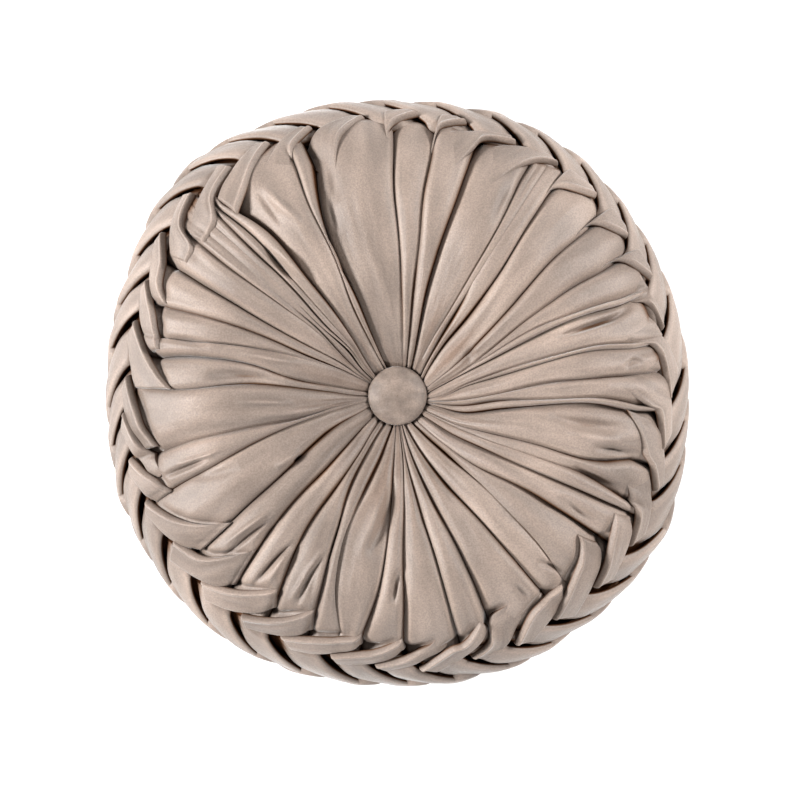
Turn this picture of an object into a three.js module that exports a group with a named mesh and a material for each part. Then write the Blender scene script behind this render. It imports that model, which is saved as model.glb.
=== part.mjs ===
// Round pleated velvet cushion with a plaited rim and a covered button in its face.
// Millimetres, +Z up. It lies on its back: the origin is the middle of the underside, and the
// face looks up. Bearings are in degrees, clockwise from +Y as seen from above.

import * as THREE from 'three';

// Driving sizes

const THICKNESS = 120;
const PLEATS = 35;
const BUTTON_DIAMETER = 41;
const BUTTON_HEIGHT = 8.5;
const SEAT_DIAMETER = 46;
const SEAT_DEPTH = 36;
const CLEARANCE = 0.3;

// The tufted middle sits a little below the middle of the outline
const TUFT_SHIFT = { x: 0.3, y: -1.9 };
const TUFT_SHIFT_REACH = 150;

// Face: where the pleats crest and end, as distances from the middle
const CREST_REACH = 122;
const FACE_REACH = 171;

// Where the creases have reached their bends, and where they turn on towards the rim
const BEND_REACH = 105;
const TURN_REACH = 120;

// Plaited rim, ring by ring from the face to the back. The first ring's strands grow out of the
// pleats and run from their starts to their tips. "lean" is how far the strands of the others
// run along the rim, in pleats, each ring the other way.
const RINGS = [
  { lean: 0, joins: 'pleats' },
  { lean: -0.85, joins: 'ring' },
  { lean: 0.88, joins: 'ring' },
  { lean: -0.85, joins: 'ring' },
  { lean: 1.2, joins: 'ring' },
];

// Rows across a ring, from the groove where its strands come out: how far below the crest line,
// and how deep the gaps between the strands are
const RING_ROWS = [
  { part: 0, lower: 4.5, depth: 4 },
  { part: 0.3, lower: 0, depth: 7 },
  { part: 0.72, lower: 0, depth: 7 },
];

// How far the outline reaches from the middle in each direction: it is a little uneven
const OUTLINE = [
  { bearing: 0, reach: 201 },
  { bearing: 32, reach: 205 },
  { bearing: 72, reach: 200.5 },
  { bearing: 95, reach: 201 },
  { bearing: 120, reach: 208 },
  { bearing: 148, reach: 204.5 },
  { bearing: 180, reach: 201 },
  { bearing: 217, reach: 206.5 },
  { bearing: 245, reach: 204 },
  { bearing: 268, reach: 199.5 },
  { bearing: 288, reach: 201.5 },
  { bearing: 318, reach: 212 },
  { bearing: 342, reach: 204.5 },
];
const MEAN_REACH = 204;

// The unevenness of the outline begins and is complete at these distances from the middle
const UNEVEN_FROM = 90;
const UNEVEN_TO = 180;

// The cross section of the crests, from the face's middle over the rim to the back's middle.
// "down" is the drop below the top of the cushion.
const CROSS_SECTION = [
  { reach: SEAT_DIAMETER / 2, down: SEAT_DEPTH },
  { reach: 33, down: 26.5 },
  { reach: 52, down: 15 },
  { reach: 78, down: 5.8 },
  { reach: CREST_REACH, down: 0 },
  { reach: 150, down: 5.5 },
  { reach: FACE_REACH, down: 16.5 },
  { reach: 187, down: 31 },
  { reach: 198, down: 44 },
  { reach: MEAN_REACH, down: 60 },
  { reach: 199, down: 77 },
  { reach: 188, down: 92 },
  { reach: FACE_REACH, down: 105.5 },
  { reach: 152, down: 115 },
];

// The back's flat resting ring, and the rows inside it up to the back button's seat
const REST_OUTER = 138;
const REST_INNER = 96;
const BACK_ROWS = [
  { reach: REST_OUTER, rise: 0 },
  { reach: REST_INNER, rise: 0 },
  { reach: 66, rise: 8 },
  { reach: 40, rise: 22 },
  { reach: SEAT_DIAMETER / 2, rise: SEAT_DEPTH },
];

// Rows of the face between the button's seat and the rim
const FACE_ROWS = [SEAT_DIAMETER / 2, 33, 50, 74, 98, CREST_REACH, 144, 159];

// One row for each pleat: the bearing of its crease near the rim (start), in the middle of the
// face (bend), the bearing of the tip of the strand that grows from it (tip), and how sharply
// the crease is drawn in (draw, 1 = full depth)
const CREASES = [
  { start: -4, bend: -1, tip: 12.4, draw: 0.9 },
  { start: 8, bend: 7, tip: 23.1, draw: 1 },
  { start: 19, bend: 18, tip: 33.9, draw: 1 },
  { start: 30, bend: 31, tip: 43.7, draw: 0.9 },
  { start: 39, bend: 37.7, tip: 53.8, draw: 1 },
  { start: 49, bend: 49, tip: 64, draw: 1 },
  { start: 60, bend: 58, tip: 74.1, draw: 0.8 },
  { start: 71, bend: 67.8, tip: 85.5, draw: 1 },
  { start: 85.5, bend: 82, tip: 98.7, draw: 0.9 },
  { start: 94.5, bend: 92.5, tip: 109, draw: 1 },
  { start: 105.5, bend: 108.3, tip: 120.3, draw: 0.9 },
  { start: 117.5, bend: 118.7, tip: 131, draw: 0.9 },
  { start: 128, bend: 126.3, tip: 142.3, draw: 1 },
  { start: 139, bend: 136, tip: 152.3, draw: 0.4 },
  { start: 149, bend: 145, tip: 161.3, draw: 1 },
  { start: 159, bend: 158.5, tip: 172.3, draw: 1 },
  { start: 168, bend: 166, tip: 182.3, draw: 1 },
  { start: 177.5, bend: 177, tip: 192.3, draw: 1 },
  { start: 188, bend: 186, tip: 203.7, draw: 0.6 },
  { start: 199.5, bend: 200.7, tip: 213.7, draw: 1 },
  { start: 209.5, bend: 211.3, tip: 223.3, draw: 1 },
  { start: 219.5, bend: 221, tip: 234, draw: 1 },
  { start: 231, bend: 231.7, tip: 245, draw: 1 },
  { start: 240, bend: 239.5, tip: 254.3, draw: 0.4 },
  { start: 248.5, bend: 247.3, tip: 263.2, draw: 1 },
  { start: 257, bend: 256.7, tip: 272, draw: 1 },
  { start: 269.5, bend: 271, tip: 282.3, draw: 1 },
  { start: 279.5, bend: 283.3, tip: 293, draw: 1 },
  { start: 290, bend: 291.3, tip: 303, draw: 1 },
  { start: 299.5, bend: 299.7, tip: 313, draw: 1 },
  { start: 307, bend: 306.3, tip: 322.3, draw: 1 },
  { start: 317, bend: 314.7, tip: 331.7, draw: 0.8 },
  { start: 327, bend: 322.3, tip: 341, draw: 1 },
  { start: 337, bend: 336.5, tip: 351.7, draw: 1 },
  { start: 347, bend: 347.5, tip: 362, draw: 0.4 },
];

// Bearing of the first crease at the middle, where the creases lie evenly
const HUB_START = 8;

// Columns across one pleat, from its crease (0) to the next crease (1). The middle share is the
// level crown, and from there the pleat rounds down into its creases.
const PLEAT_COLUMNS = [0, 0.14, 0.38, 0.62, 0.86];
const CROWN_SHARE = 0.25;
const CREASE_SHARPNESS = 2.3;

// Depth of the creases by reach: shallow and close at the middle, deep near the rim
const CREASE_DEPTH = { inner: 1.6, face: 10, back: 8 };
const CREASE_INNER_REACH = 20;
const CREASE_OUTER_REACH = 150;

// The button's cross section, from the middle of its flat underside over its rolled edge to the
// top of its low dome, as shares of its radius and of its height
const BUTTON_PROFILE = [
  { out: 0, up: 0 },
  { out: 0.9, up: 0 },
  { out: 0.985, up: 0.12 },
  { out: 1, up: 0.31 },
  { out: 0.97, up: 0.51 },
  { out: 0.84, up: 0.71 },
  { out: 0.6, up: 0.85 },
  { out: 0.3, up: 0.96 },
  { out: 0, up: 1 },
];
const BUTTON_SIDES = 36;

const velvet = new THREE.MeshStandardMaterial({ color: 0xb3a397, roughness: 0.85, metalness: 0 });

// Small helpers

const radians = THREE.MathUtils.degToRad;
const blend = THREE.MathUtils.lerp;
const pitch = 360 / PLEATS;

function smooth(value, low, high) {
  return THREE.MathUtils.smoothstep(value, low, high);
}

// Reach of the outline in a direction, as a smooth curve through the table
function outlineReach(bearing) {
  const wrapped = ((bearing % 360) + 360) % 360;
  const count = OUTLINE.length;
  let index = count - 1;
  for (let i = 0; i < count; i += 1) {
    if (OUTLINE[i].bearing <= wrapped) index = i;
  }
  const here = OUTLINE[index];
  const next = OUTLINE[(index + 1) % count];
  const span = index === count - 1 ? 360 - here.bearing : next.bearing - here.bearing;
  const part = (wrapped - here.bearing) / span;
  return blend(here.reach, next.reach, part * part * (3 - 2 * part));
}

// Bearing of the crease with this index at one of the named columns of the table; indexes past
// the last pleat go once more round
function creaseBearing(index, column) {
  const turn = Math.floor(index / PLEATS);
  const crease = CREASES[index - turn * PLEATS];
  return crease[column] + turn * 360;
}

function hubBearing(index) {
  return HUB_START + index * pitch;
}

// The crest line of the cross section, with arc lengths
const section = new THREE.SplineCurve(
  CROSS_SECTION.map(({ reach, down }) => new THREE.Vector2(reach, THICKNESS - down)),
);
section.arcLengthDivisions = 800;

// Arc fractions of the widest point, and of where the crest line passes a reach on either side
const widest = fractionWhere(0, 1, (fraction) => section.getTangentAt(fraction).x > 0);

function fractionWhere(start, end, isBefore) {
  let low = start;
  let high = end;
  for (let i = 0; i < 40; i += 1) {
    const middle = (low + high) / 2;
    if (isBefore(middle)) low = middle;
    else high = middle;
  }
  return low;
}

function faceFraction(reach) {
  return fractionWhere(0, widest, (fraction) => section.getPointAt(fraction).x < reach);
}

function backFraction(reach) {
  return fractionWhere(widest, 1, (fraction) => section.getPointAt(fraction).x > reach);
}

function creaseDepth(reach, deepest) {
  const grown = smooth(reach, CREASE_INNER_REACH, CREASE_OUTER_REACH);
  return blend(CREASE_DEPTH.inner, deepest, grown);
}

// Rows of the whole surface, from the face's seat to the back's seat. Each row gives the point
// of the crest line, its outward direction, how deep the creases are, how much they lie
// below, and a function for the bearing of each crease.
function surfaceRows() {
  const rows = [];

  // Face: creases run from the even spacing at the seat to the bends and on to the rim
  for (const reach of FACE_ROWS) {
    const fraction = faceFraction(reach);
    const outward = smooth(reach, SEAT_DIAMETER / 2, BEND_REACH);
    const rimward = smooth(reach, TURN_REACH, FACE_REACH);
    rows.push({
      fraction,
      lower: 0,
      depth: creaseDepth(reach, CREASE_DEPTH.face),
      drawn: true,
      bearing: (index) => blend(
        blend(hubBearing(index), creaseBearing(index, 'bend'), outward),
        creaseBearing(index, 'start'),
        rimward,
      ),
    });
  }

  // Rim: rings of leaning strands, each ring leaning the other way
  const rimStart = faceFraction(FACE_REACH);
  const ringSpan = (backFraction(FACE_REACH) - rimStart) / RINGS.length;
  let startLean = 0;
  RINGS.forEach(({ lean, joins }, ring) => {
    const leanBefore = startLean;
    for (const { part, lower, depth } of RING_ROWS) {
      rows.push({
        fraction: rimStart + (ring + part) * ringSpan,
        lower,
        depth,
        drawn: false,
        bearing: joins === 'pleats'
          ? (index) => blend(creaseBearing(index, 'start'), creaseBearing(index, 'tip'), part)
          : (index) => creaseBearing(index, 'tip') + (leanBefore + lean * part) * pitch,
      });
    }
    startLean += lean;
  });
  const rimLean = startLean;

  // The end of the last ring, where the back's pleats start
  rows.push({
    fraction: rimStart + RINGS.length * ringSpan,
    lower: RING_ROWS[0].lower,
    depth: RING_ROWS[0].depth,
    drawn: false,
    bearing: (index) => creaseBearing(index, 'tip') + rimLean * pitch,
  });

  // Back: plain, even pleats, flat where the cushion rests
  for (const { reach, rise } of BACK_ROWS) {
    const inward = 1 - smooth(reach, SEAT_DIAMETER / 2, FACE_REACH);
    rows.push({
      crest: new THREE.Vector2(reach, rise),
      normal: new THREE.Vector2(0, -1),
      lower: 0,
      depth: creaseDepth(reach, CREASE_DEPTH.back),
      drawn: false,
      bearing: (index) => blend(
        creaseBearing(index, 'tip') + rimLean * pitch,
        hubBearing(index) + (1 + rimLean) * pitch,
        inward,
      ),
    });
  }
  return rows;
}

// Height below the crest line at a place across a pleat: 0 on the crown, 1 in the crease
function creaseProfile(across) {
  const offCrown = Math.max(0, Math.abs(2 * across - 1) - CROWN_SHARE) / (1 - CROWN_SHARE);
  return offCrown ** CREASE_SHARPNESS;
}

function cushionGeometry() {
  const positions = [];
  const triangles = [];
  const rows = surfaceRows();
  const columns = PLEATS * PLEAT_COLUMNS.length;

  for (const row of rows) {
    const crest = row.crest ?? section.getPointAt(row.fraction);
    let normal = row.normal;
    if (!normal) {
      const tangent = section.getTangentAt(row.fraction);
      normal = new THREE.Vector2(-tangent.y, tangent.x);
    }
    for (let pleat = 0; pleat < PLEATS; pleat += 1) {
      const here = row.bearing(pleat);
      const next = row.bearing(pleat + 1);
      for (const across of PLEAT_COLUMNS) {
        const bearing = blend(here, next, across);
        const nearCrease = across < 0.5 ? pleat : pleat + 1;
        const draw = row.drawn ? CREASES[nearCrease % PLEATS].draw : 1;
        const drop = row.lower + row.depth * draw * creaseProfile(across);
        const uneven = outlineReach(bearing) / MEAN_REACH - 1;
        const stretch = 1 + uneven * smooth(crest.x, UNEVEN_FROM, UNEVEN_TO);
        const reach = crest.x * stretch - normal.x * drop;
        const height = crest.y - normal.y * drop;
        const shifted = 1 - smooth(reach, SEAT_DIAMETER / 2, TUFT_SHIFT_REACH);
        positions.push(
          reach * Math.sin(radians(bearing)) + TUFT_SHIFT.x * shifted,
          reach * Math.cos(radians(bearing)) + TUFT_SHIFT.y * shifted,
          height,
        );
      }
    }
  }

  // Quads between the rows
  for (let row = 0; row + 1 < rows.length; row += 1) {
    for (let column = 0; column < columns; column += 1) {
      const across = (column + 1) % columns;
      const a = row * columns + column;
      const b = row * columns + across;
      const c = (row + 1) * columns + across;
      const d = (row + 1) * columns + column;
      triangles.push(a, b, c, a, c, d);
    }
  }

  // Flat seats under the two buttons
  const faceSeat = positions.length / 3;
  positions.push(TUFT_SHIFT.x, TUFT_SHIFT.y, THICKNESS - SEAT_DEPTH);
  const backSeat = faceSeat + 1;
  positions.push(TUFT_SHIFT.x, TUFT_SHIFT.y, SEAT_DEPTH);
  const last = (rows.length - 1) * columns;
  for (let column = 0; column < columns; column += 1) {
    const across = (column + 1) % columns;
    triangles.push(faceSeat, across, column);
    triangles.push(backSeat, last + column, last + across);
  }

  const geometry = new THREE.BufferGeometry();
  geometry.setAttribute('position', new THREE.Float32BufferAttribute(positions, 3));
  geometry.setIndex(triangles);

  // The uneven outline is centred on the origin
  geometry.computeBoundingBox();
  const middle = geometry.boundingBox.getCenter(new THREE.Vector3());
  return geometry.translate(-middle.x, -middle.y, 0);
}

// A covered button
function buttonGeometry() {
  const outline = BUTTON_PROFILE.map(
    ({ out, up }) => new THREE.Vector2(out * BUTTON_DIAMETER / 2, up * BUTTON_HEIGHT),
  );
  const geometry = new THREE.LatheGeometry(outline, BUTTON_SIDES);
  return geometry.rotateX(Math.PI / 2);
}

function addPiece(parent, name, geometry) {
  const piece = new THREE.Mesh(geometry, velvet);
  piece.name = name;
  parent.add(piece);
  return piece;
}

const model = new THREE.Group();
addPiece(model, 'cushion', cushionGeometry());

const frontButton = addPiece(model, 'front_button', buttonGeometry());
frontButton.position.set(TUFT_SHIFT.x, TUFT_SHIFT.y, THICKNESS - SEAT_DEPTH + CLEARANCE);

const backButton = addPiece(model, 'back_button', buttonGeometry());
backButton.position.set(TUFT_SHIFT.x, TUFT_SHIFT.y, SEAT_DEPTH - CLEARANCE);
backButton.rotation.x = Math.PI;

export default model;
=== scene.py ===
"""Velvet cushion, pleated from a covered button out to a plaited rim, lying on its back.

Tables are in millimetres and degrees. Bearings run clockwise from +Y as seen from above. A
reach is a distance from the middle as the camera sees it at the height of the rim.
"""
import math

import bmesh
import bpy
import numpy as np
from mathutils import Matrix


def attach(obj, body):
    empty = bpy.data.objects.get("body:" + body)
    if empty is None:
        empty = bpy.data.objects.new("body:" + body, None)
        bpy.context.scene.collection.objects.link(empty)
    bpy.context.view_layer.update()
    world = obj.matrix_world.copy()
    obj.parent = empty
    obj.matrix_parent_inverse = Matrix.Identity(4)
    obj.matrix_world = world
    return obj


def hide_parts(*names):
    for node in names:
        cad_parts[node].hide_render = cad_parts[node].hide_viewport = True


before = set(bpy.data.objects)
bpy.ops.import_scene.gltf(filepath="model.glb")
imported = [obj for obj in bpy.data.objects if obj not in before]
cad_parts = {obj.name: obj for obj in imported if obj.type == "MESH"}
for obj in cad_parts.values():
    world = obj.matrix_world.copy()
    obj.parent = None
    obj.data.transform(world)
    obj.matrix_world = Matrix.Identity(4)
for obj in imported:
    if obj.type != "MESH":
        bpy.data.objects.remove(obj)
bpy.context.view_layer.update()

# Sizes shared by all pieces
MM = 0.001
THICKNESS = 120.0
RIM_HEIGHT = 60.0
MEAN_REACH = 204.0
PLEATS = 35
PITCH = 360.0 / PLEATS
TUFT_X = 0.3
TUFT_Y = -1.9
TUFT_REACH = 150.0
SEAT_REACH = 23.0
SEAT_DEPTH = 36.0
SEAT_GAP = 0.3

# How long a degree along the rim is, the reaches over which the outline becomes uneven, and the
# step that sets the streaks of one pleat apart from the next
RIM_DEGREE = 3.4
UNEVEN = (90, 180)
LAY_STEP = 7.3

# Camera: straight above the face, framed as the photograph is
LENS = 150.0
SENSOR = 36.0
FRAME_WIDTH = 0.5528
CAMERA_SHIFT = (0.0021, -0.0048)
CAMERA_RISE = FRAME_WIDTH * LENS / SENSOR

# How far the outline reaches in each direction, as bearing and reach
OUTLINE = [
    (0, 201), (32, 205), (72, 200.5), (95, 201), (120, 208), (148, 204.5), (180, 201),
    (217, 206.5), (245, 204), (268, 199.5), (288, 201.5), (318, 212), (342, 204.5),
]

# Cross section of the crests, as reach and drop below the top, from the face over the rim
CROSS_SECTION = [
    (20.6, 38.2), (23, 36), (33, 26.5), (52, 15), (78, 5.8), (122, 0), (150, 5.5), (171, 16.5),
    (187, 31), (198, 44), (204, 60), (199, 77), (188, 92), (171, 105.5), (152, 115),
]

# Cross section of the back, as reach and height: it rests on the level stretch
BACK_SECTION = [
    (21, 38), (26, 33.5), (40, 22), (66, 8), (84, 2), (96, 0), (117, 0), (138, 0),
    (152, 5), (171, 14.5), (182, 23),
]

# Creases of the face. Bearings at seven reaches, then how deep each is at four reaches
# (1 = full depth), then which side lies over near the middle and near the rim: -1 the panel
# before the crease, 1 the panel after it. Where nothing is said, it is -1 for both.
STATIONS = [22, 31, 45, 69, 100, 138, 171]
DEPTH_STATIONS = [31, 59, 97, 155]
CREASES = [
    (12, 8, 4.5, 1.7, 0, -1.4, -1.6, 0, .3, .55, .85),
    (19.3, 14.4, 12.2, 10.1, 8.3, 7.2, 7.9, 1, 1, .6, .7, 1, -1),
    (28.8, 23.5, 19.3, 16.7, 17.1, 17.9, 18.4, .9, 1, .9, 1, 1, 1),
    (40, 34, 31.5, 31.7, 31.3, 30.8, 29.6, 0, .2, .8, .9),
    (49.5, 41, 36.8, 34.5, 34, 34, 33.5, .8, 1, 0, 0),
    (61, 49, 43.9, 43.2, 40.3, 37.7, 36.9, .7, 1, .8, .6, 1, -1),
    (75, 66, 60.5, 54.9, 51.4, 48.9, 48.7, .2, .6, .8, .7),
    (84, 75, 69.9, 64.4, 60.1, 58.1, 58.8, .7, .8, .75, .75),
    (85.5, 76.3, 71.2, 66.5, 63.8, 65.7, 66.8, 0, 0, .5, .8),
    (87, 77.5, 72.4, 69.5, 68.3, 67.6, 68.6, .8, 1, 1, .8, 1, 1),
    (97, 90.4, 81, 77.1, 76.1, 76, 77.9, 1, 1, .95, .95),
    (99, 92.3, 83.5, 80.4, 78.3, 78.1, 79.3, 0, .7, .7, .4, 1, 1),
    (101, 97, 92.9, 88.6, 85.3, 84.7, 85.3, .7, .85, .95, .8),
    (103, 100.2, 97.4, 92.5, 91.7, 91.3, 92.6, .6, .85, .85, .95),
    (105, 106, 106, 99, 94.9, 93.2, 94.3, .9, 1, .9, .5, 1, 1),
    (118, 117, 115.5, 111.8, 109.5, 108.9, 105.5, .4, .6, .85, .95),
    (121, 120, 119, 117, 114.5, 113, 114.6, 0, 0, .15, .9),
    (129.5, 127.4, 126.2, 122.7, 120.6, 119.2, 117.7, .5, .65, .65, 1, 1, 1),
    (141, 138, 135.2, 131.8, 127.9, 126.4, 126, .2, .5, .75, 1, -1, 1),
    (149.2, 143.5, 139.3, 137, 136.5, 136.5, 138, 1, .5, 0, .2),
    (166, 160, 155, 150, 146.3, 144.3, 143.3, .8, .8, .7, .8),
    (171, 168.3, 165.2, 161.9, 160, 159, 158.8, .9, .9, .8, 1, -1, 1),
    (174.2, 173.2, 171.8, 168.3, 166.4, 165.5, 165.2, .9, 1, .7, .7),
    (176, 174.6, 174, 175.3, 176.8, 176.9, 177.7, .1, .25, .7, .95),
    (183, 182.5, 182.3, 182, 182.6, 184.5, 187.2, .1, .3, .4, .85),
    (186.5, 190.5, 193.7, 197.5, 200.5, 198, 193.5, 1, 1, .1, 0),
    (202, 205.3, 206.5, 206.1, 203, 200.6, 199.3, .8, .9, .6, .9),
    (219.5, 217, 214.9, 214.7, 213.5, 211.3, 209, .6, .8, .9, 1, 1, -1),
    (231.5, 229.3, 227.3, 225.2, 223.4, 221.1, 219.7, .5, .7, .9, 1, 1, -1),
    (245.5, 243.2, 241.4, 237.1, 233.4, 231.6, 231, .5, .8, .9, .9),
    (259.5, 258, 256.7, 254, 250.7, 248.1, 246.2, .4, .6, .6, .7),
    (262, 260.5, 259, 256.3, 257.3, 257, 256.5, 0, .1, .35, .5, 1, 1),
    (267.5, 269.2, 271.9, 273.2, 272.3, 270.8, 270.7, .8, 1, 1, .5),
    (276, 277, 278, 278.6, 282.3, 281.5, 279, 0, .2, .6, 1, 1, 1),
    (293, 293, 292.3, 291, 287.2, 284.2, 283, 0, .1, .6, .3),
    (294, 294.8, 294.2, 292.6, 292.6, 291.4, 289.8, .2, .4, .7, .7),
    (295.5, 298.3, 300.7, 299.8, 299.3, 299.6, 300.3, .1, .3, .6, .9, 1, 1),
    (296.4, 300, 304, 307.6, 306.8, 306.4, 306.5, 0, 0, .5, .8),
    (297.5, 301.5, 305.6, 309.6, 310, 310, 310, .9, 1, 0, 0, 1, 1),
    (303, 307.5, 313, 312.3, 312.6, 312.6, 312.6, .8, .3, 0, 0, 1, 1),
    (305, 309.5, 314.4, 313.8, 314.9, 314.4, 314.6, 0, .4, .8, .65),
    (308, 312, 317, 317.5, 317.8, 318.4, 316.3, 0, 0, .2, .9, 1, 1),
    (312, 317, 321.4, 323.5, 323, 322, 317.8, .2, .5, .9, .9, 1, 1),
    (333.5, 332.3, 331.9, 332.7, 335.2, 334.5, 335.3, .9, .9, .9, .6),
    (340, 338.6, 338.2, 337.9, 336, 337.6, 340.3, .8, .9, 1, 1, 1, 1),
]

# Rounding of the folds, from the crown to the bottom of the crease: across and drop of the
# folded edge that lies over (the lip), then of the side that slopes in under it
FOLD_PROFILE = [
    (1, 0, 1, 0), (.62, .02, .78, .05), (.3, .07, .58, .17), (.06, .16, .4, .37),
    (-.75, .3, .26, .59), (-1, .42, .15, .78), (-.8, .64, .06, .92), (0, 1, 0, 1),
]
LIP_WIDTH = 5.0
SLOPE_WIDTH = 7.5
LIP_OVERHANG = 2.3
CREASE_DEPTH = (5.5, 10.0)
CREASE_GROWTH = (18, 120)
SIDE_COLUMNS = 8
CROWN_COLUMNS = 14
FACE_ROWS = 134
FACE_SPLIT = 23
HUB_RISE = 4.0
FACE_EDGE = 197.0

# The border of the face: where and how deep it turns in, how far its sides then go down, and the
# reach and height at which they meet
FACE_TURN_IN = (181.0, 192.0)
FACE_TURN_DEPTH = 7.0
FACE_INSIDE = -12.0
FACE_MIDDLE = (100.0, 70.0)

# Where the panels stay up further out, to their peaks: bearings where that starts and stops,
# each over a stretch, and how much further
OPEN_ENDS = [(28, 38, 62, 72), (330, 337, 370, 375)]
OPEN_END_REACH = 8.0
# Painted shade in the dish around the button
PAINTED_DISH_SHADE = 0.16

# Patches of painted light (negative) and painted shade on the face: bearing and reach of the
# middle of the patch, how far it spreads in each, and how strong it is
PAINTED_LIGHT_PATCHES = [
    (112, 93, 38, 26, -0.17), (182, 95, 28, 55, 0.08), (265, 142, 28, 24, -0.27),
    (0, 50, 14, 18, -0.2), (45, 50, 20, 18, 0.1), (335, 140, 40, 18, 0.05),
]

# How much the panels swell and lean, where they are rounder (how much, bearing and spread), and
# their unevenness, as height, frequency and seed
SWELL = 0.09
ROUNDER = 0.8
ROUNDEST = 98.0
ROUNDER_SPREAD = 32
TILT = 0.15
FACE_WAVES = [(0.55, 0.06, 3), (0.22, 0.17, 5)]

# The map of the face's height that the first ring lies on: its reaches, rows and step of bearing
MAP_REACHES = (140.0, 200.0)
MAP_ROWS = 40
MAP_STEP = 0.25

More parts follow.
